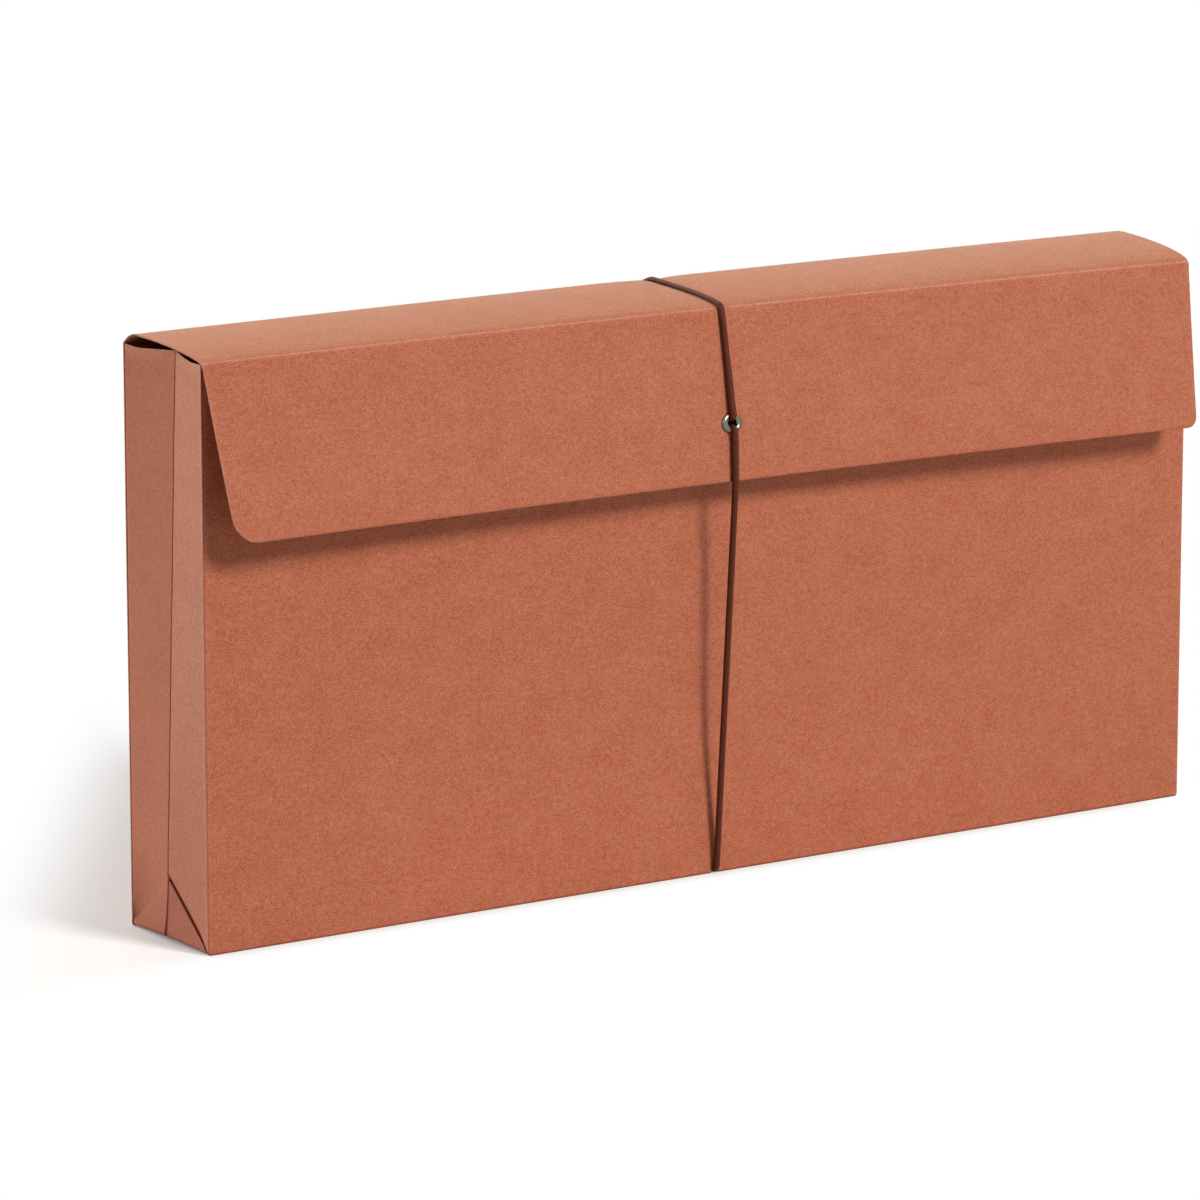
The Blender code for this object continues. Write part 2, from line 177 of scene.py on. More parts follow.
def sheet(name, points, flat, wear_and_painted_light, thickness, materials, skip=()):
    """A sheet from a grid of points on its outer face. Its cut edges are faces of their own."""
    rows, columns = points.shape[:2]
    normal = np.cross(np.gradient(points, axis=1), np.gradient(points, axis=0))
    normal /= np.linalg.norm(normal, axis=2, keepdims=True)
    depth = np.zeros((rows, columns, 1))
    outer = np.concatenate([points, flat, depth, wear_and_painted_light[..., None]], axis=2).reshape(-1, 7)
    inner = np.concatenate([points - normal * thickness, flat, depth - thickness, wear_and_painted_light[..., None] * 0.5],
                           axis=2).reshape(-1, 7)
    table = np.concatenate([outer, inner])
    below = rows * columns
    faces, slots, rims = [], [], set()
    for row in range(rows - 1):
        for column in range(columns - 1):
            if (row, column) in skip:
                continue
            first = row * columns + column
            quad = [first, first + 1, first + columns + 1, first + columns]
            faces += [quad, [corner + below for corner in reversed(quad)]]
            slots += [0, 0]
            rims.update(zip(quad, quad[1:] + quad[:1]))
    for start, end in sorted(rims):
        if (end, start) not in rims:
            faces.append([end, start, start + below, end + below])
            slots.append(1)
    used = sorted({corner for face in faces for corner in face})
    place = {corner: index for index, corner in enumerate(used)}
    mesh = bpy.data.meshes.new(name)
    mesh.from_pydata(table[used, :3].tolist(), [], [[place[corner] for corner in face] for face in faces])
    mesh.polygons.foreach_set("material_index", slots)
    mesh.attributes.new("flat", "FLOAT_VECTOR", "POINT").data.foreach_set(
        "vector", table[used, 3:6].astype(np.float32).ravel())
    mesh.attributes.new("wear_and_painted_light", "FLOAT", "POINT").data.foreach_set("value", table[used, 6].astype(np.float32))
    for material in materials:
        mesh.materials.append(material)
    mesh.shade_smooth()
    mesh.set_sharp_from_angle(angle=math.radians(35))
    piece = bpy.data.objects.new(name, mesh)
    bpy.context.scene.collection.objects.link(piece)
    return piece


def mix(low, high, share):
    """A value part of the way from low to high."""
    return low + (high - low) * share


def ripple(x, z, seed, height=0.00022):
    """The slight unevenness of a standing board."""
    return height * noise.noise(Vector((x * 11.0, z * 13.0, seed)))


def bend(start, first, second, end, steps):
    """Points of a curve in the Y-Z plane between two ends with two handles."""
    corners = [Vector((y, z)) for y, z in (start, first, second, end)]
    return [(point.x, point.y) for point in interpolate_bezier(*corners, steps)]


top_bow = 0.0009


def bow(x):
    """How far the top bows up, most in the middle."""
    return top_bow * (1 - (x / half_width) ** 2)


pull_reach = 0.009
crown_dip = 0.0009
dip_reach = 0.0032
rear_steps = 12
front_steps = 22


def spine_section(x):
    """The board's outer face at x, from the top of the back panel over the arch to the front crease.
    Under the cord it is pulled down a little."""
    share = (x + half_width) / (2 * half_width)
    crown = mix(0.0045, 0.00695, share)
    peak = mix(0.19, 0.25, share)

    def at(depth, rise):
        return (back_y - depth * spine_depth, wallet_height + rise + bow(x) * mix(0.75, 1.0, depth))

    pulled = math.exp(-((x - rear_x) / pull_reach) ** 2)
    crown -= crown_dip * math.exp(-((x - rear_x) / dip_reach) ** 2)
    below = [at(0.0, -0.0030), at(0.0, -0.0012), at(0.0, -0.0002)]
    rear = bend(at(0.0, 0.0003),
                at(mix(0.06, 0.08, share) + 0.02 * pulled, mix(0.0028, 0.0043, share) - 0.0020 * pulled),
                at(mix(0.09, 0.12, share) + 0.085 * pulled, crown - 0.0008 * pulled),
                at(peak, crown), rear_steps)
    front = bend(at(peak, crown),
                 at(0.42, crown - mix(0.0002, 0.00035, share) - 0.0005 * pulled),
                 at(mix(0.72, 0.88, share), mix(0.0033, 0.0044, share) - 0.0008 * pulled),
                 at(1.0, 0.0), front_steps)
    return below + rear + front[1:]


dent_height = 0.0031
dent_reach = 0.0018


def dented(x):
    """How far the taut cord has pressed a panel's lower edge up."""
    share = min(abs(x - cord_x) / dent_reach, 1.0)
    return dent_height * (1 - share * share * (3 - 2 * share))


side_columns = (0.0272, 0.2262, 0.2275, 0.2281)
cord_columns = (0.0006, 0.0012, 0.0017, 0.0022, 0.003, 0.0045, 0.0065, 0.014)
columns_x = sorted(set(np.linspace(-half_width, half_width, 47).round(6).tolist()
                       + [side * x for side in (-1, 1) for x in side_columns]
                       + [cord_x + side * x for side in (-1, 1) for x in cord_columns]))
panel_heights = [0.0, 0.0004, 0.001, 0.002, 0.0035, 0.006, 0.010, 0.016]
panel_heights += np.linspace(0.024, 0.204, 13).tolist()
corner_round = 0.0012
foot_zone = 0.012


def panel_point(x, z, seed):
    """Height of a panel row at x, and its unevenness."""
    past = max(0.0, abs(x) - half_width + corner_round) / corner_round
    rounding = corner_round * (1 - math.sqrt(1 - past * past))
    lift = (dented(x) + rounding) * max(0.0, 1 - z / foot_zone)
    return z + lift, ripple(x, z, seed)


def lengths(points):
    """Distance walked along each column of a grid."""
    steps = np.linalg.norm(np.diff(points, axis=0), axis=2)
    return np.concatenate([np.zeros((1, points.shape[1])), np.cumsum(steps, axis=0)])


def edge_rub(distance, reach=0.0006, most=0.2):
    """How far a sheet is rubbed at a distance from its cut edge."""
    return most * np.exp(-distance / reach)


def contact_shade(height):
    """How far a panel is darkened along the edge that it stands on: painted contact shade."""
    return 0.85 * np.clip(1 - height / 0.0009, 0.0, 1.0)


def painted_top_sheen(x):
    """How far the top is painted paler, more to the right: a painted sheen where the top is seen at a grazing
    angle.
    """
    return 0.1 * (1 + x / half_width)


back_columns = columns_x[::-1]
back_grid = []
for x in back_columns:
    line = []
    for z in panel_heights:
        height, wave = panel_point(x, z, 3.1)
        line.append((x, back_y + wave * min(1.0, (0.21 - z) / 0.05), height))
    line += [(x, y, z) for y, z in spine_section(x)[:-2]]
    back_grid.append(line)
back_grid = np.array(back_grid).transpose(1, 0, 2)
back_walk = lengths(back_grid)
back_flat = np.stack([back_grid[..., 0], back_walk], axis=2)
# Pale wear at the side edges, less painted contact shade along the foot.
back_wear_and_light = edge_rub(half_width - np.abs(back_grid[..., 0])) - contact_shade(back_walk)
fold_row = len(panel_heights) + 3
back_wear_and_light += 0.3 * np.exp(-((np.arange(back_grid.shape[0]) - fold_row) / 1.2) ** 2)[:, None]
# From here up the top is painted paler, more to the right: a painted sheen where the top is seen at a grazing
# angle.
sheen_row = fold_row + 4
back_wear_and_light[sheen_row:] += painted_top_sheen(back_grid[sheen_row:, :, 0])
# The left end of the arch is painted nearly black: painted shade on its cut edge and underside, seen inside
# the opening.
left_end_shade = -0.95
back_wear_and_light[fold_row + 2:fold_row + 11, -1] = left_end_shade
board_back = sheet("board_back", back_grid, back_flat, back_wear_and_light, board_thickness, [board_face, board_cut])
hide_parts("back_panel", "flap_spine")
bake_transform(board_back)


# Front board: a flat sheet of the same fibre board, cut on all four sides.
# It stands free of the back and is held only by the gusset glued inside its border.
# The cord has pressed a small dent in its lower edge. Along the left border runs a dark line of painted
# shade, where the board's edge stands off the gusset's fold.

front_y = -0.0195161
hollow_depth = 0.0020
front_rows = panel_heights + [0.2110, 0.2145, 0.2165, 0.2174, 0.2179]
front_grid = []
for x in columns_x:
    line = []
    for z in front_rows:
        height, wave = panel_point(x, z, 8.7)
        along = min(max((z - 0.010) / 0.125, 0.0), 1.0) ** 0.75
        drawn_in = hollow_depth * math.sin(math.pi * along) ** 2 * (1 - (x / half_width) ** 2)
        line.append((x, front_y - wave + drawn_in, height))
    front_grid.append(line)
front_grid = np.array(front_grid).transpose(1, 0, 2)
front_walk = lengths(front_grid)
front_flat = np.stack([front_grid[..., 0] + 1.0, front_walk], axis=2)
from_left = half_width + front_grid[..., 0]
pale_line = 0.22 * np.exp(-((from_left - 0.0012) / 0.0005) ** 2)
# A dark line just inside the left border: painted shade where the board's edge stands off the gusset's fold.
gap_shade = 0.40 * np.exp(-((from_left - 0.0005) / 0.0004) ** 2)
# Pale wear at the right and top edges, painted contact shade along the foot, and the painted shade line at
# the left.
front_wear_and_light = (edge_rub(half_width - front_grid[..., 0], 0.0005, 0.35) - contact_shade(front_walk)
             + edge_rub(front_walk[-1] - front_walk) + (pale_line - gap_shade))
board_front = sheet("board_front", front_grid, front_flat, front_wear_and_light, board_thickness,
                    [board_face, board_cut])
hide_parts("front_panel")
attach(board_front, "front")


# End gussets: a strip of thinner gusset paper in the same dye, folded inwards along its middle.
# Each is glued to the panels by its two borders and opens like a bellows.
# The middle fold lies deeper at the top than at the foot.

paper_thickness = 0.0004
paper_deep, paper_pale = (0.355, 0.108, 0.059), (0.535, 0.192, 0.108)
paper_face = pulp_stock("gusset_paper", deep=paper_deep, pale=paper_pale,
                        rubbed=(0.64, 0.40, 0.27), shine=0.72, streak=0.06, sheen=0.0)
paper_cut = pulp_stock("cut_paper_edge", deep=(0.44, 0.17, 0.10), pale=(0.64, 0.33, 0.22),
                       rubbed=(0.66, 0.38, 0.27), shine=0.75)
middle_y = 0.0079839
fold_reach = 0.0266
fold_x = 0.2283
panel_top = 0.2179
tuck_top = 0.0243
tuck_foot = 0.0014
foot_inset, top_inset = -0.0003, 0.0058


def crease_x(z, seed):
    """How far out the middle fold lies at a height."""
    share = (z - tuck_top) / (panel_top - tuck_top)
    inset = mix(foot_inset, top_inset, share)
    return half_width - inset + 0.0002 * noise.noise(Vector((seed, 0.0, z * 40.0)))


slit_width = 0.0025
foot_turn = 0.0026
pinch_shift = 0.0002
pinch_depth = 0.0009


def mitre_height(reach):
    """Height of the corner fold at a distance from the gusset's middle."""
    return mix(tuck_top, tuck_foot, min(reach / fold_reach, 1.0))


top_reach = [-0.0266, -0.0156, -0.0088, 0.0, 0.0104, 0.0202, 0.0242, 0.0277]
top_height = [0.2181, 0.2174, 0.2180, 0.2193, 0.2187, 0.2181, 0.2187, 0.2191]
roll = [(-0.0001, 0.00006), (-0.0004, 0.00009), (-0.0014, 0.00009)]
half_shares = [0.0, 0.04, 0.1, 0.2, 0.32, 0.45, 0.58, 0.7, 0.8, 0.88, 0.94, 0.97, 0.985]
gusset_steps = [0.0, 0.003, 0.009] + (np.linspace(0.0, 1.0, 34)[1:] ** 0.9).tolist()


def gusset_column(side, reach, out, foot, seed):
    """One column of an end gusset from its foot to its top edge, which dips between the folds."""
    line = []
    top = float(np.interp(reach, top_reach, top_height))
    for step in gusset_steps:
        z = mix(foot, top, step)
        share = max(0.0, 1 - abs(reach) / fold_reach)
        x = mix(out, crease_x(z, seed), share)
        x += 0.00035 * share * (1 - share) * 4 * noise.noise(Vector((reach * 60.0, z * 14.0, seed)))
        line.append((side * x, middle_y + reach, z))
    return line


def end_gusset(name, word, side):
    """The whole end gusset, rear border to front border as it is seen from outside on the left."""
    seed = 2.0 + side
    grid = []
    for out, over in reversed(roll):
        grid.append(gusset_column(side, fold_reach + over + 0.00017, fold_x + out, tuck_foot, seed))
    for share in half_shares:
        reach = fold_reach * (1 - share)
        grid.append(gusset_column(side, reach, fold_x, mitre_height(reach), seed))
    pinch = gusset_column(side, -pinch_shift, fold_x, tuck_top, seed)
    grid.append([(x - side * pinch_depth, y, z) for x, y, z in pinch])
    for share in reversed(half_shares):
        reach = fold_reach * (1 - share)
        foot = mitre_height(reach) + slit_width * (1 - share) ** 0.15 - foot_turn * max(0.0, 1 - share / 0.15)
        grid.append(gusset_column(side, -reach, fold_x, foot, seed))
    for out, over in roll:
        foot = tuck_foot + slit_width - foot_turn
        grid.append(gusset_column(side, -fold_reach - over, fold_x + out, foot, seed))
    if side > 0:
        grid.reverse()
    grid = np.array(grid).transpose(1, 0, 2)
    reach = grid[..., 1] - middle_y
    flat = np.stack([reach + side * 3.0, grid[..., 2]], axis=2)
    height = grid[..., 2]
    border_wear = 0.12 * np.exp(-((np.abs(reach) - fold_reach) / 0.0006) ** 2)
    top_wear = edge_rub(height[-1:] - height, 0.0008, 0.25)
    # The front half is painted paler, most at the top: painted sheen and light, where that half is seen at a
    # grazing angle.
    front_half_sheen = np.where(reach < 0, 0.18 * np.clip((height - 0.03) / 0.05, 0.3, 1.0), 0.0)
    rearward = np.clip(reach / fold_reach, 0.0, 1.0)
    foot_shade = 0.40 * np.exp(-((height - 0.010) / 0.018) ** 2) * rearward
    corner_shade = 0.8 * np.exp(-((height - 0.003) / 0.004) ** 2) * rearward ** 5
    # A pale line along the front border: a painted highlight on the gusset's fold.
    border_highlight = 0.22 * np.exp(-((reach + fold_reach) / 0.0008) ** 2)
    wear_and_painted_light = border_wear + top_wear + front_half_sheen - foot_shade - corner_shade + border_highlight
    # The foot of the front half, over the slit, is painted dark: painted shade.
    wear_and_painted_light[0] -= np.where(reach[0] < 0, 0.6, 0.0)
    # A broken dark line along the middle fold: painted shade in the crease.
    crease_shade = 0.5 + 0.35 * np.sin(height * 190.0 + seed) * np.sin(height * 67.0)
    wear_and_painted_light -= crease_shade * np.exp(-((reach + pinch_shift) / 0.0002) ** 2)
    piece = sheet(name, grid, flat, wear_and_painted_light, paper_thickness, [paper_face, paper_cut])
    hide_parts(word + "_gusset_rear", word + "_gusset_front")
    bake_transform(piece)


end_gusset("paper_left_end", "left", -1)
end_gusset("paper_right_end", "right", 1)


# Corner tucks: at the foot of each end the strip turns under the wallet, so its corner folds
# to a triangle, as on a paper bag. The rear half runs on from the gusset with a soft crease;
# the front half lies apart from it, behind an open slit.

tuck_bulge = 0.0019
tuck_shares = [0.02, 0.05, 0.12, 0.22, 0.34, 0.46, 0.58, 0.70, 0.80, 0.88, 0.94, 0.975, 0.99, 1.0]
tuck_steps = [0.0, 0.06, 0.16, 0.3, 0.45, 0.6, 0.75, 0.88, 0.95, 1.0]
slit_ledge = [(0.0006, 0.0001), (0.0009, 0.0036)]
turn_under = [(-0.0048, 0.0010), (-0.0030, 0.0001), (-0.0012, -0.0005), (-0.0002, -0.0004)]


def corner_tuck(word, part, side, way):
    """One half of a corner tuck. way is 1 for the rear half and -1 for the front half.

    The rear half lies flush under the gusset and reaches a little behind the front half, and the
    front half reaches up behind the gusset, so no daylight shows through the slits. As the bellows
    close, each half draws up towards its mitre.
    """
    seed = 2.0 + side
    rear = way > 0
    stops = [(share, 0.0, 0.0) for share in tuck_shares]
    if rear:
        stops.append((1.0, 0.0016, 0.0020))
    grid, painted_shade = [], []
    for share, past, inset in stops:
        reach = mix(fold_reach, 0.0, share) - past
        foot = mix(0.0009, 0.0024, share)
        run_down = 0.0022 * max(0.0, 1 - share / 0.13)
        top = max(mitre_height(max(reach, 0.0)) + (0.0006 if rear else -0.0006 - run_down), foot + 0.0002)
        upper = mix(fold_x, crease_x(tuck_top, seed), share) - (-0.00005 if rear else 0.0003) - inset
        lower = fold_x + tuck_bulge * share ** 1.4 - inset
        # All darkening of the tucks below is painted shade: where the strip turns under, along the foot line,
        # in the slits and on their ledges, where the halves meet, along the front border, and a little over
        # the whole tuck.
        middle_shade = 1.0 if past else 0.6 * math.exp((share - 1) * fold_reach / 0.0004)
        line, dark = [], []
        for inward, drop in turn_under:
            line.append((side * (lower + inward), middle_y + way * (reach + 0.0007 * share), foot + drop))
            dark.append(0.6)
        for step in tuck_steps:
            hollow = -0.0003 * math.sin(math.pi * step) * share
            gap = mix(0.0007, 0.00003, step ** 0.7) * share
            line.append((side * (mix(lower, upper, step) + hollow), middle_y + way * (reach + gap),
                         mix(foot, top, step)))
            slit_shade = 0.0 if rear else 0.75 * math.exp((step - 1) / 0.03)
            edge_shade = middle_shade if past else middle_shade * (1 - 0.7 * step)
            base_shade = mix(0.30, 0.04, step) if rear else 0.23
            border_shade = 0.0 if rear else 0.9 * math.exp(-(share * fold_reach / 0.0011) ** 2)
            dark.append(base_shade + border_shade + 0.3 * math.exp(-step / 0.03) + edge_shade + slit_shade)
        if not rear:
            for inward, rise in slit_ledge:
                line.append((side * (upper - inward), middle_y + way * reach, top + rise))
                dark.append(1.0)
        grid.append(line)
        painted_shade.append(dark)
    if side * way > 0:
        grid.reverse()
        painted_shade.reverse()
    grid = np.array(grid).transpose(1, 0, 2)
    flat = np.stack([grid[..., 1] + 5.0 * side, grid[..., 2] + 2.0], axis=2)
    wear_and_painted_light = -np.clip(np.array(painted_shade).T, 0.0, 1.0)
    name = word + "_" + part + "_tuck"
    piece = sheet("paper_" + name, grid, flat, wear_and_painted_light, paper_thickness, [paper_face, paper_cut])
    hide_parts(name)
    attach(piece, name)
    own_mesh(piece)


for word, side in (("left", -1), ("right", 1)):
    corner_tuck(word, "rear", side, 1)
    corner_tuck(word, "front", side, -1)


# Bottom gusset: the same strip carried under the wallet, folded upwards along its middle.
# It is glued inside the lower borders of both panels.

bottom_reach = 0.2264
bottom_fold_z = 0.0032
bottom_rise = 0.0059
bottom_crest = 0.0060
bottom_grid = []
bottom_profile = [(fold_reach + over, bottom_fold_z + 0.0004 - out) for out, over in reversed(roll)]
bottom_profile += [(fold_reach * (1 - share), mix(bottom_fold_z, bottom_rise, share))
                   for share in half_shares]
bottom_profile.append((0.0, bottom_crest))
bottom_profile += [(-reach, z) for reach, z in reversed(bottom_profile[:-1])]
bottom_xs = np.linspace(-bottom_reach, bottom_reach, 41)
for reach, z in bottom_profile:
    line = []
    for x in bottom_xs:
        loose = 1 - abs(reach) / (fold_reach + 0.001)
        wave = 0.0004 * noise.noise(Vector((x * 9.0, reach * 30.0, 6.5))) * loose
        line.append((x, middle_y + reach, z + wave))
    bottom_grid.append(line)
bottom_grid = np.array(bottom_grid)
bottom_side = bottom_grid[..., 1] - middle_y
bottom_flat = np.stack([bottom_grid[..., 0] + 9.0, bottom_side], axis=2)
bottom_rub = 0.25 * np.exp(-((np.abs(bottom_side) - fold_reach) / 0.0009) ** 2)
bottom_rub += 0.2 * np.exp(-(bottom_side / 0.0008) ** 2)
paper_bottom = sheet("paper_bottom", bottom_grid, bottom_flat, bottom_rub, paper_thickness,
                     [paper_face, paper_cut])
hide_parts("bottom_gusset_rear", "bottom_gusset_front")
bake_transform(paper_bottom)


# Glue tabs: the borders of the gusset strip, stuck flat inside the panels.
# They show only when the flap is up, so the plain pieces stay and take the gusset paper.

paper_tab = pulp_stock("gusset_paper_tab", deep=paper_deep, pale=paper_pale,
                       rubbed=(0.66, 0.36, 0.24), shine=0.6)
for node in paper_tab.node_tree.nodes:
    if node.type == "ATTRIBUTE" and node.attribute_name == "flat":
        tab_place = wire(paper_tab.node_tree, "ShaderNodeTexCoord", {})
        paper_tab.node_tree.links.new(tab_place.outputs["Object"], node.outputs["Vector"].links[0].to_socket)
for place in ("left", "right", "bottom"):
    for part in ("rear", "front"):
        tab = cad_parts[place + "_" + part + "_tab"]
        tab.data.materials.clear()
        tab.data.materials.append(paper_tab)


# Flap: the same board carried on past the spine, scored, and bent down over the front.
# Its ends are cut at a slant and its lower corners are rounded. The score has cracked the dye
# to a pale line, and the cord pulls the middle in while the ends spring out.

flap_length = 0.0663
flap_tilt = math.radians(13.0)
flap_tapers = {-1: 0.0046, 1: 0.0068}
flap_corners = {-1: 0.0095, 1: 0.0044}
flap_springs = {-1: 0.0042, 1: 0.0036}
flap_drawn_in = 0.0030
lip_drawn_up = 0.0004
eyelet_drop = 0.0443
down_flap = Vector((-math.sin(flap_tilt), -math.cos(flap_tilt)))
out_of_flap = Vector((-math.cos(flap_tilt), math.sin(flap_tilt)))


def flap_lift(x, walk):
    """How far the flap stands out from its plane."""
    spring = flap_springs[-1 if x < 0 else 1]
    spread = spring * (abs(x) / half_width) ** 0.9 - flap_drawn_in
    return spread * (max(walk, 0.0) / flap_length) ** 3 + ripple(x, walk, 15.2, 0.00018)


def flap_at(x, walk, height=0.0):
    """A point on the flap by its distance from the crease and its height off the face."""
    start = Vector((crease_y, wallet_height + bow(x)))
    drawn_up = lip_drawn_up * (1 - (x / half_width) ** 2) * walk / flap_length
    place = start + down_flap * (walk - drawn_up) + out_of_flap * (flap_lift(x, walk) + height)
    return (x, place.x, place.y)


def flap_half(walk, side):
    """Half the flap's width at a distance from the crease, with that side's round corner at its foot."""
    slanted = half_width - flap_tapers[side] * walk / flap_length
    corner = flap_corners[side]
    above = flap_length - corner
    if walk <= above:
        return slanted
    drop = (walk - above) / corner
    return slanted - corner * (1 - math.sqrt(max(0.0, 1 - drop * drop)))


corner_walks = sorted(flap_length - flap_corners[side] * (1 - math.sin(math.radians(angle)))
                      for side in (-1, 1) for angle in (12, 26, 38, 48, 57, 65, 72, 78, 83, 87))
flap_walks = [0.0016, 0.003, 0.005, 0.008, 0.012, 0.017, 0.022, 0.028, 0.034, 0.038,
              eyelet_drop - 0.003, eyelet_drop, eyelet_drop + 0.003, 0.050, 0.054, 0.0562] + corner_walks
flap_walks += [flap_length - 0.0002, flap_length]
score_steps = 13
score_ridge = 7
sharp_above, sharp_below = 0.78, 0.72
hole_half = 0.0031
flap_grid = []
for x in columns_x[::-1]:
    section = spine_section(x)
    before = section[-3]
    corner = (crease_y, wallet_height + bow(x))
    after = flap_at(x, flap_walks[0])
    toward = mix(Vector(before), Vector(corner), sharp_above)
    away = mix(Vector(after[1:]), Vector(corner), sharp_below)
    score = bend(before, toward, away, after[1:], score_steps)
    line = [(x, y, z) for y, z in score]
    for walk in flap_walks[1:]:
        line.append(flap_at(x * flap_half(walk, 1 if x > 0 else -1) / half_width, walk))
    flap_grid.append(line)
flap_grid = np.array(flap_grid).transpose(1, 0, 2)
flap_walk = lengths(flap_grid)
flap_flat = np.stack([flap_grid[..., 0], flap_walk + 0.30], axis=2)
score_place = np.linalg.norm(flap_grid[..., 1:] - flap_grid[score_ridge:score_ridge + 1, :, 1:], axis=2)
flap_wear_and_light = 0.75 * np.exp(-(score_place / 0.0005) ** 2)
flap_edge = np.minimum(np.abs(flap_grid[..., 0] - flap_grid[:, :1, 0]),
                       np.abs(flap_grid[..., 0] - flap_grid[:, -1:, 0]))
flap_wear_and_light += edge_rub(np.minimum(flap_edge, flap_walk[-1] - flap_walk))
# The flap's first rows carry on the painted sheen of the top.
flap_wear_and_light[:5] += painted_top_sheen(flap_grid[:5, :, 0])
hole_rows = [row + score_steps - 1 for row, walk in enumerate(flap_walks[:-1])
             if eyelet_drop - hole_half < walk < eyelet_drop + hole_half - 0.0002]
from_cord = [abs(x - cord_x) for x in columns_x[::-1]]
hole_columns = [column for column in range(len(columns_x) - 1)
                if max(from_cord[column], from_cord[column + 1]) < hole_half]
eyelet_hole = {(row, column) for row in hole_rows for column in hole_columns}
board_flap = sheet("board_flap", flap_grid, flap_flat, flap_wear_and_light, board_thickness,
                   [board_face, board_cut], eyelet_hole)
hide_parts("flap_front")
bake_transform(board_flap)


# Eyelet: a nickel-plated brass eyelet, pressed through the flap and rolled over behind it.
# Its rim is domed and polished and a little flatter than round, and the barrel keeps the cord
# off the cut board.

rim_outer = 0.0047
rim_bore = 0.0019
rim_height = 0.0011
rim_press = 0.84


def nickel_plate():
    """Nickel plating with a faint turned grain and a slightly dull patina. Its colour is kept dark to stand
    for the dark surroundings that the metal reflects: a painted reflection.
    """
    material, tree, shader = blank_material("nickel_plate")
    place = wire(tree, "ShaderNodeTexCoord", {})
    patina = wire(tree, "ShaderNodeTexNoise",
                  {"Vector": place.outputs["Object"], "Scale": 900.0, "Detail": 4.0})
    tint = wire(tree, "ShaderNodeValToRGB", {"Fac": patina.outputs["Fac"]})
    # A dark base colour: a painted reflection of dark surroundings.
    tint.color_ramp.elements[0].color = (0.10, 0.094, 0.07, 1.0)
    tint.color_ramp.elements[1].color = (0.25, 0.235, 0.19, 1.0)
    tree.links.new(tint.outputs["Color"], shader.inputs["Base Color"])
    gloss = ranged(tree, patina.outputs["Fac"], (0.0, 1.0), (0.16, 0.27))
    tree.links.new(gloss, shader.inputs["Roughness"])
    shader.inputs["Metallic"].default_value = 1.0
    return material


rim_middle = (rim_outer + rim_bore) / 2
rim_half = (rim_outer - rim_bore) / 2
rim_profile = [(rim_middle + rim_half * math.cos(math.radians(angle)),
                rim_height * math.sin(math.radians(angle)) ** 0.8 + 0.00005) for angle in range(0, 181, 12)]
behind = -board_thickness - 0.0003
rim_profile += [(rim_bore, -0.0004), (rim_bore, behind), (rim_bore + 0.0003, behind - 0.0004),
                (0.0034, behind - 0.0005), (0.0043, behind - 0.0002), (0.0042, behind),
                (0.0032, behind + 0.0002), (0.0028, 0.0)]
rim_turns = 72
rim_points, rim_faces = [], []
eye_seat = flap_at(cord_x, eyelet_drop)
for turn in range(rim_turns):
    angle = 2 * math.pi * turn / rim_turns
    for radius, height in rim_profile:
        x = cord_x + radius * math.cos(angle)
        rise = -radius * rim_press * math.sin(angle)
        place = Vector(eye_seat[1:]) + down_flap * rise + out_of_flap * height
        rim_points.append((x, place.x, place.y))
ring = len(rim_profile)
for turn in range(rim_turns):
    for step in range(ring):
        here, after = turn * ring, (turn + 1) % rim_turns * ring
        rim_faces.append((here + step, after + step, after + (step + 1) % ring, here + (step + 1) % ring))
eyelet_mesh = bpy.data.meshes.new("nickel_eyelet")
eyelet_mesh.from_pydata(rim_points, [], rim_faces)
eyelet_mesh.materials.append(nickel_plate())
eyelet_mesh.shade_smooth()
nickel_eyelet = bpy.data.objects.new("nickel_eyelet", eyelet_mesh)
bpy.context.scene.collection.objects.link(nickel_eyelet)
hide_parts("eyelet")
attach(nickel_eyelet, "flap")


# Elastic cord: a rubber core in a braided dark brown sheath, 2.5 mm thick.
# Both ends come out of the eyelet; the loop runs tight over the spine, down the back, under the
# wallet and up the front. It is made in stretches that follow the folds they lie on.

cord_radius = 0.00125
cord_off = cord_radius + 0.0001
cord_pressed = 0.72
strand_in = 0.0011


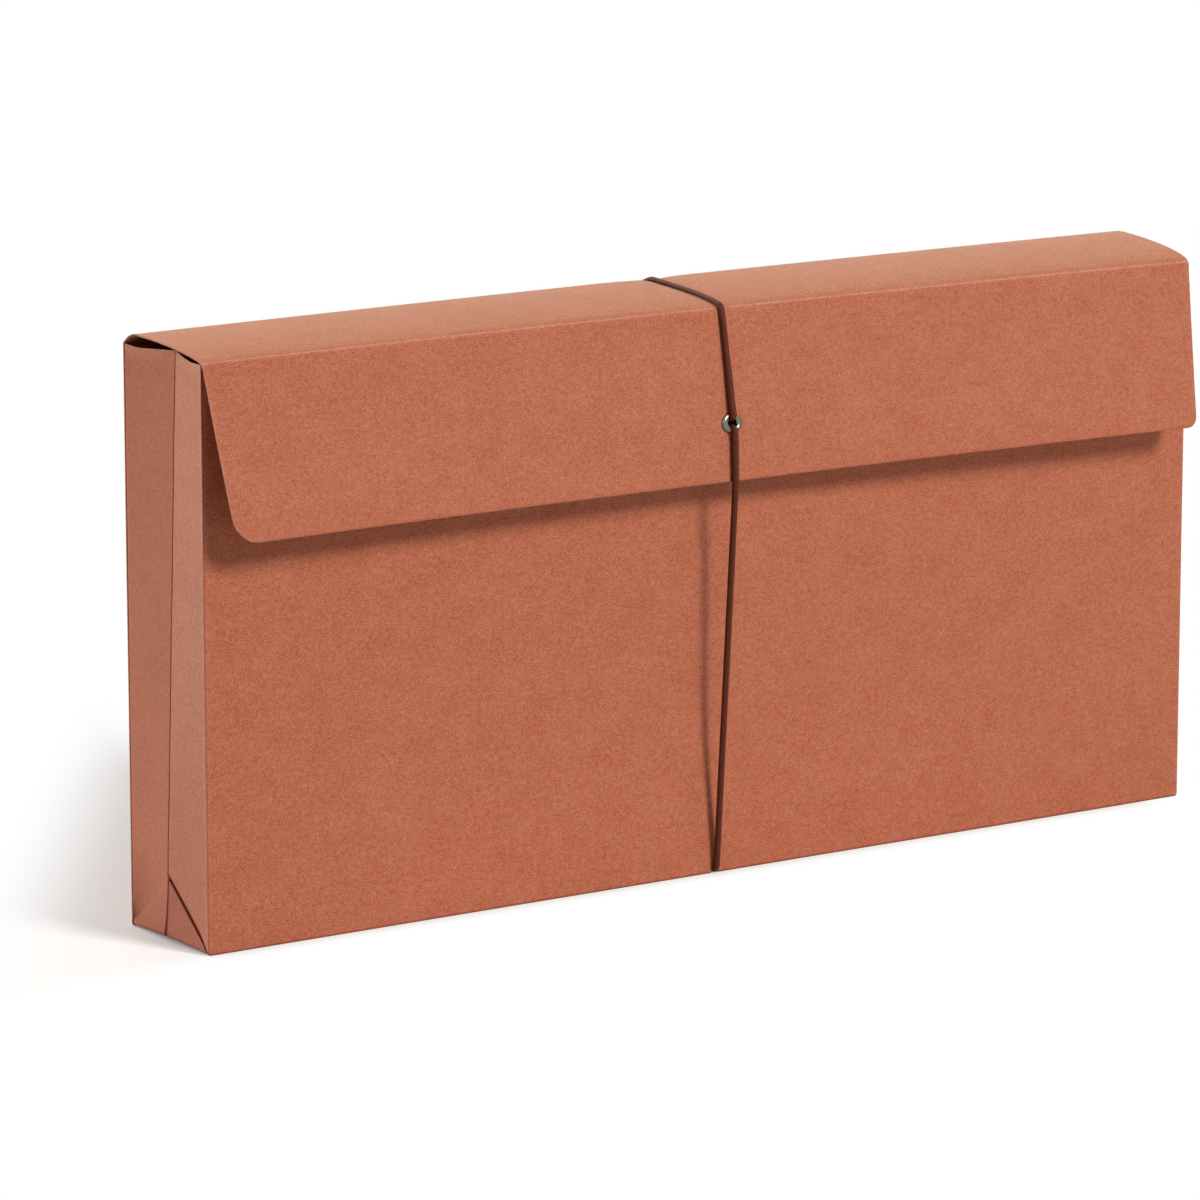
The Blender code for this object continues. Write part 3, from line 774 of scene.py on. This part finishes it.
def braided_elastic():
    """A fine two-way braid: ribs that cross round the cord, painted dark between them as shade in the
    grooves, with a soft sheen.
    """
    material, tree, shader = blank_material("braided_elastic")
    place = wire(tree, "ShaderNodeAttribute", {}, attribute_name="weave")
    parts = wire(tree, "ShaderNodeSeparateXYZ", {"Vector": place.outputs["Vector"]})
    ribs = []
    for way in (6.0, -6.0):
        along = wire(tree, "ShaderNodeMath", {0: parts.outputs["X"], 1: 950.0}, operation="MULTIPLY")
        turned = wire(tree, "ShaderNodeMath", {0: parts.outputs["Y"], 1: way, 2: along.outputs[0]},
                      operation="MULTIPLY_ADD")
        phase = wire(tree, "ShaderNodeMath", {0: turned.outputs[0], 1: math.pi}, operation="MULTIPLY")
        wave = wire(tree, "ShaderNodeMath", {0: phase.outputs[0]}, operation="SINE")
        ribs.append(wire(tree, "ShaderNodeMath", {0: wave.outputs[0]}, operation="ABSOLUTE"))
    braid = wire(tree, "ShaderNodeMath", {0: ribs[0].outputs[0], 1: ribs[1].outputs[0]}, operation="MULTIPLY")
    fuzz = wire(tree, "ShaderNodeTexNoise",
                {"Vector": place.outputs["Vector"], "Scale": 1400.0, "Detail": 3.0})
    tone = wire(tree, "ShaderNodeMath", {0: fuzz.outputs["Fac"], 1: 0.5, 2: braid.outputs[0]},
                operation="MULTIPLY_ADD")
    # The colour runs dark between the ribs: painted shade in the grooves.
    yarn_and_groove_shade = wire(tree, "ShaderNodeValToRGB", {"Fac": tone.outputs[0]})
    yarn_and_groove_shade.color_ramp.elements[0].position = 0.1
    yarn_and_groove_shade.color_ramp.elements[0].color = (0.030, 0.004, 0.001, 1.0)
    yarn_and_groove_shade.color_ramp.elements[1].color = (0.155, 0.033, 0.014, 1.0)
    tree.links.new(yarn_and_groove_shade.outputs["Color"], shader.inputs["Base Color"])
    lift = wire(tree, "ShaderNodeBump", {"Height": tone.outputs[0], "Strength": 0.5, "Distance": 0.00012})
    tree.links.new(lift.outputs["Normal"], shader.inputs["Normal"])
    gloss = ranged(tree, tone.outputs[0], (0.0, 1.0), (0.46, 0.32))
    tree.links.new(gloss, shader.inputs["Roughness"])
    shader.inputs["Specular IOR Level"].default_value = 0.12
    return material


elastic = braided_elastic()


def resampled(points, step):
    """Points an even step apart along a line."""
    points = np.array(points, float)
    walk = np.concatenate([[0.0], np.cumsum(np.linalg.norm(np.diff(points, axis=0), axis=1))])
    stops = np.linspace(0.0, walk[-1], int(round(walk[-1] / step)) + 1)
    return np.stack([np.interp(stops, walk, points[:, axis]) for axis in range(3)], axis=1)


def eased(points, rounds):
    """A line with its small corners worn off."""
    points = points.copy()
    for _ in range(rounds):
        points[1:-1] = (points[:-2] + 2 * points[1:-1] + points[2:]) / 4
    return points


def cord_tube(name, path, sides, closed=False, pressed=None, girth=1.0, part=slice(None)):
    """A round cord along a path or a part of it, with its ends closed. pressed flattens it and girth
    thins it, point by point."""
    path = np.array(path)
    count = len(path)
    if closed:
        tangent = np.roll(path, -1, axis=0) - np.roll(path, 1, axis=0)
    else:
        tangent = np.gradient(path, axis=0)
    tangent /= np.linalg.norm(tangent, axis=1, keepdims=True)
    across = np.zeros_like(path)
    start = np.array([1.0, 0.0, 0.0]) if abs(tangent[0][0]) < 0.9 else np.array([0.0, 1.0, 0.0])
    for index in range(count):
        start = start - tangent[index] * start.dot(tangent[index])
        start /= np.linalg.norm(start)
        across[index] = start
    other = np.cross(tangent, across)
    if pressed is not None:
        other *= pressed[:, None]
    walk = np.concatenate([[0.0], np.cumsum(np.linalg.norm(np.diff(path, axis=0), axis=1))])
    turns = np.arange(sides) / sides
    angle = 2 * np.pi * turns
    ring = (np.cos(angle)[None, :, None] * across[:, None, :]
            + np.sin(angle)[None, :, None] * other[:, None, :])
    points = path[:, None, :] + cord_radius * ring * np.broadcast_to(girth, count)[:, None, None]
    weave = np.stack([np.repeat(walk[:, None], sides, axis=1), np.repeat(turns[None, :], count, axis=0),
                      np.zeros((count, sides))], axis=2)
    points, weave = points[part], weave[part]
    count = len(points)
    verts = points.reshape(-1, 3).tolist()
    woven = weave.reshape(-1, 3).tolist()
    faces = []
    for index in range(count if closed else count - 1):
        here, after = index * sides, (index + 1) % count * sides
        for side in range(sides):
            beside = (side + 1) % sides
            faces.append((here + side, here + beside, after + beside, after + side))
    if not closed:
        faces.append(tuple(range(sides - 1, -1, -1)))
        faces.append(tuple(range((count - 1) * sides, count * sides)))
    mesh = bpy.data.meshes.new(name)
    mesh.from_pydata(verts, [], faces)
    mesh.attributes.new("weave", "FLOAT_VECTOR", "POINT").data.foreach_set(
        "vector", np.array(woven, np.float32).ravel())
    mesh.materials.append(elastic)
    mesh.shade_smooth()
    mesh.set_sharp_from_angle(angle=math.radians(50))
    piece = bpy.data.objects.new(name, mesh)
    bpy.context.scene.collection.objects.link(piece)
    return piece


def around(centre, radius, start, end, steps):
    """Points of an arc in the Y-Z plane, by angles in degrees."""
    angles = [math.radians(mix(start, end, step / steps)) for step in range(steps + 1)]
    return [Vector((centre[0] + radius * math.cos(angle), centre[1] + radius * math.sin(angle)))
            for angle in angles]


def strand_from_eyelet(way):
    """One end of the cord, from behind the flap through the bore and over the rim."""
    over_rim = rim_middle * rim_press
    strand_bend = over_rim - strand_in
    line = [(strand_in, behind - 0.0005)]
    for angle in range(180, 50, -12):
        line.append((over_rim + strand_bend * math.cos(math.radians(angle)),
                     rim_height * 0.1 + strand_bend * math.sin(math.radians(angle))))
    line.append((over_rim + 2.4 * strand_bend, cord_off))
    return [flap_at(cord_x, eyelet_drop - way * rise, height) for rise, height in line]


def taut(points):
    """The line that a tight cord takes over points that run from the front to the back."""
    line = []
    for point in points:
        while len(line) > 1 and (line[-1] - line[-2]).cross(point - line[-1]) >= 0:
            line.pop()
        line.append(point)
    return line


tilt_angle = math.degrees(flap_tilt)
lip_x = -0.0028
crest_x = -0.0010
lip = Vector(flap_at(lip_x, flap_length)[1:])
cord_step = 0.0006
under = 0.00135
foot_bend = 0.0014
foot_stand = 0.0015
back_turn = back_y + cord_off - foot_bend
front_turn = front_y - foot_stand + foot_bend
lean = math.degrees(math.atan((front_y - foot_stand - lip.x + cord_off) / lip.y))
pressed_off = cord_radius * cord_pressed + 0.0001
over_top = around((crease_y, wallet_height + bow(0.0)), pressed_off, 180 - tilt_angle, 128, 5)
section = [Vector(point) for point in spine_section(rear_x)][::-1]
for index in range(2, len(section) - 1):
    along = (section[index + 1] - section[index - 1]).normalized()
    over_top.append(section[index] + Vector((-along.y, along.x)) * pressed_off)
over_top += [Vector((back_y + pressed_off, wallet_height - 0.004))]
over_top = taut(over_top)
route = strand_from_eyelet(1)
for point in over_top:
    share = min(max((point.x - crease_y) / spine_depth, 0.0), 1.0)
    route.append((mix(crest_x, rear_x, share), point.x, point.y))
down_back = [Vector((back_y + cord_off, z)) for z in (0.205, 0.16, 0.11, 0.05)]
down_back += around((back_turn, under + foot_bend), foot_bend, 0, -90, 6)
route += [(mix(cord_x, rear_x, point.y / wallet_height), point.x, point.y) for point in down_back]
route.append((cord_x, middle_y, under))
up_front = around((front_turn, under + foot_bend), foot_bend, -90, lean - 180, 6)
up_front += around(lip, cord_off, 180 + lean, 180 - tilt_angle, 4)
route += [(mix(cord_x, lip_x, point.y / lip.y), point.x, point.y) for point in up_front]
route += strand_from_eyelet(-1)[::-1]
cord_path = eased(resampled(route, cord_step), 3)
on_top = np.clip((cord_path[:, 2] - wallet_height + 0.005) / 0.005, 0.0, 1.0)
from_end = np.minimum(np.arange(len(cord_path)), np.arange(len(cord_path))[::-1]) * cord_step
thin_in_bore, flat_in_bore = 0.85, 0.62
past_rim = np.clip((from_end - 0.0018) / 0.0026, 0.0, 1.0)
less_taut = 1 + 0.13 * np.clip((0.030 - from_end) / 0.016, 0.0, 1.0)
girth = mix(thin_in_bore, less_taut, past_rim)
flatness = mix(1.0, cord_pressed, on_top) * mix(flat_in_bore, 1.0, past_rim)
path_y, path_z = cord_path[:, 1], cord_path[:, 2]
edge_reach = 0.0030
foot_height = 0.006
lip_clear = 0.0005
edge_front = int(np.argmax(path_y > back_y - edge_reach))
edge_back = int(np.argmax((path_y > back_y) & (path_z < wallet_height - edge_reach)))
back_foot = int(np.argmax((path_y > back_y) & (path_z < foot_height)))
front_foot = len(cord_path) - 1 - int(np.argmax(path_z[::-1] < foot_height))
under_lip = front_foot + int(np.argmax(path_z[front_foot:] > lip.y - lip_clear))
cord_sides = 18


def cord_stretch(name, start, end):
    """One stretch of the cord, which meets the next one end to end."""
    piece = cord_tube(name, cord_path, cord_sides, pressed=flatness, girth=girth, part=slice(start, end + 1))
    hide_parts("elastic_cord")
    return piece


over_flap = cord_stretch("elastic_over_flap", 0, edge_front)
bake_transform(over_flap)
round_edge = cord_stretch("elastic_round_edge", edge_front, edge_back)
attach(round_edge, "back")
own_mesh(round_edge)
down_the_back = cord_stretch("elastic_down_back", edge_back, back_foot)
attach(down_the_back, "back")
under_wallet = cord_stretch("elastic_under", back_foot, front_foot)
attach(under_wallet, "back")
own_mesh(under_wallet)
up_the_front = cord_stretch("elastic_up_front", front_foot, under_lip)
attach(up_the_front, "front")
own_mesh(up_the_front)
to_eyelet = cord_stretch("elastic_to_eyelet", under_lip, len(cord_path) - 1)
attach(to_eyelet, "flap")


# Knot: both ends of the cord tied together behind the eyelet, where they cannot pull through.
# It is the same braided elastic, drawn into three small loops that pass over and under each other.

knot_size = 0.00145
knot_points = 180
knot_lift = cord_radius + 0.00015
knot_depth = board_thickness + 0.0004 + 0.0006 + cord_radius + knot_lift
knot_path = []
for step in range(knot_points):
    turn = 2 * math.pi * step / knot_points
    across = knot_size * (math.sin(turn) + 2 * math.sin(2 * turn))
    rise = knot_size * (math.cos(turn) - 2 * math.cos(2 * turn))
    weave = -knot_lift * math.sin(3 * turn)
    knot_path.append((cord_x + across, *flap_at(cord_x, eyelet_drop - rise, -knot_depth - weave)[1:]))
elastic_knot = cord_tube("elastic_knot", knot_path, 14, closed=True)
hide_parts("cord_knot")
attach(elastic_knot, "flap")


# Floor, light and camera: a pale sweep, a broad lamp in front, softboxes at the left and behind, and a
# dim sky. Away from the wallet the sweep is burnt out to white, and its shade shows only close by.

floor_half = 8
floor_drop = 0.00005
floor_mesh = bpy.data.meshes.new("sweep")
floor_mesh.from_pydata([(-floor_half, -floor_half, 0), (floor_half, -floor_half, 0),
                        (floor_half, floor_half, 0), (-floor_half, floor_half, 0)], [], [(0, 1, 2, 3)])
floor = bpy.data.objects.new("sweep", floor_mesh)
floor.location.z = -floor_drop
bpy.context.scene.collection.objects.link(floor)


def seen_directly(tree):
    """One for rays from the camera, a mirror or glass; nought for the light that bounces about."""
    rays = wire(tree, "ShaderNodeLightPath", {})
    first = wire(tree, "ShaderNodeMath", {0: rays.outputs["Is Camera Ray"], 1: rays.outputs["Is Glossy Ray"]},
                 operation="MAXIMUM")
    both = wire(tree, "ShaderNodeMath", {0: first.outputs[0], 1: rays.outputs["Is Transmission Ray"]},
                operation="MAXIMUM")
    return both.outputs[0]


sweep, sweep_tree, sweep_shader = blank_material("pale_sweep")
floor_place = wire(sweep_tree, "ShaderNodeTexCoord", {})
floor_spot = wire(sweep_tree, "ShaderNodeSeparateXYZ", {"Vector": floor_place.outputs["Object"]})
dim_left = ranged(sweep_tree, floor_spot.outputs["X"], (-0.30, -0.12), (0.40, 0.84), "SMOOTHSTEP")
floor_pale = wire(sweep_tree, "ShaderNodeMix",
                  {"Factor": seen_directly(sweep_tree), "A": dim_left, "B": (0.80, 0.785, 0.765, 1.0)},
                  data_type="RGBA")
sweep_tree.links.new(floor_pale.outputs["Result"], sweep_shader.inputs["Base Color"])
sweep_shader.inputs["Roughness"].default_value = 0.9
sweep_shader.inputs["Specular IOR Level"].default_value = 0.1
shade_way = wire(sweep_tree, "ShaderNodeVectorMath",
                 {0: floor_place.outputs["Object"], 1: (-0.817, 0.575, 0.0)}, operation="DOT_PRODUCT")
burnt = ranged(sweep_tree, shade_way.outputs["Value"], (0.213, 0.268), (0.0, 1.0), "SMOOTHSTEP")
for axis, start, end in (("Y", -0.012, -0.030), ("Y", 0.20, 0.40), ("X", 0.19, 0.22)):
    past = ranged(sweep_tree, floor_spot.outputs[axis], (start, end), (0.0, 1.0), "SMOOTHSTEP")
    burnt = wire(sweep_tree, "ShaderNodeMath", {0: burnt, 1: past}, operation="MAXIMUM").outputs[0]
burnt_seen = wire(sweep_tree, "ShaderNodeMath", {0: burnt, 1: seen_directly(sweep_tree)},
                  operation="MULTIPLY")
lifted = wire(sweep_tree, "ShaderNodeMath", {0: seen_directly(sweep_tree), 1: 0.14}, operation="MULTIPLY")
glow = wire(sweep_tree, "ShaderNodeEmission",
            {"Color": (1.0, 0.995, 0.985, 1.0), "Strength": lifted.outputs[0]})
white = wire(sweep_tree, "ShaderNodeEmission", {"Color": (1.0, 1.0, 1.0, 1.0), "Strength": 1.0})
lit = wire(sweep_tree, "ShaderNodeAddShader", {0: sweep_shader.outputs[0], 1: glow.outputs[0]})
shown_floor = wire(sweep_tree, "ShaderNodeMixShader",
                   {0: burnt_seen.outputs[0], 1: lit.outputs[0], 2: white.outputs[0]})
sweep_tree.links.new(shown_floor.outputs[0], sweep_tree.nodes["Material Output"].inputs["Surface"])
floor_mesh.materials.append(sweep)

world = bpy.data.worlds.new("studio")
bpy.context.scene.world = world
world.use_nodes = True
world_tree = world.node_tree
sky_way = wire(world_tree, "ShaderNodeTexCoord", {})
sky_side = wire(world_tree, "ShaderNodeVectorMath",
                {0: sky_way.outputs["Generated"], 1: (-0.85, -0.53, 0.0)}, operation="DOT_PRODUCT")
sky_level = ranged(world_tree, sky_side.outputs["Value"], (0.0, 0.8), (0.19, 0.06), "SMOOTHSTEP")
soft_light = wire(world_tree, "ShaderNodeBackground",
                  {"Color": (1.0, 0.995, 0.985, 1.0), "Strength": sky_level})
white_light = wire(world_tree, "ShaderNodeBackground", {"Color": (1.0, 1.0, 1.0, 1.0), "Strength": 1.0})
either = wire(world_tree, "ShaderNodeMixShader",
              {0: seen_directly(world_tree), 1: soft_light.outputs[0], 2: white_light.outputs[0]})
world_tree.links.new(either.outputs[0], world_tree.nodes["World Output"].inputs["Surface"])


def lamp(name, side, height, strength, spread):
    """A broad lamp far off, side degrees right of straight in front and height degrees above the floor."""
    light = bpy.data.lights.new(name, "SUN")
    light.energy = strength
    light.angle = math.radians(spread)
    holder = bpy.data.objects.new(name, light)
    turn, rise = math.radians(side), math.radians(height)
    toward = Vector((math.sin(turn) * math.cos(rise), -math.cos(turn) * math.cos(rise), math.sin(rise)))
    holder.rotation_mode = "QUATERNION"
    holder.rotation_quaternion = toward.to_track_quat("Z", "Y")
    bpy.context.scene.collection.objects.link(holder)


lamp("key_lamp", side=19.0, height=35.0, strength=2.42, spread=17.0)
lamp("left_softbox", side=-118.0, height=19.0, strength=2.22, spread=60.0)
lamp("back_softbox", side=190.0, height=38.0, strength=1.05, spread=80.0)

camera_data = bpy.data.cameras.new("camera")
camera_data.lens = 186.2
camera_data.sensor_width = 36.0
camera_data.clip_end = 100.0
camera = bpy.data.objects.new("camera", camera_data)
camera.location = (-1.3528, -1.9083, 0.5700)
look_down, look_right = 11.28, 34.49
camera.rotation_euler = (math.radians(90.0 - look_down), 0.0, math.radians(-look_right))
bpy.context.scene.collection.objects.link(camera)
bpy.context.scene.camera = camera
bpy.context.scene.view_settings.view_transform = "Standard"
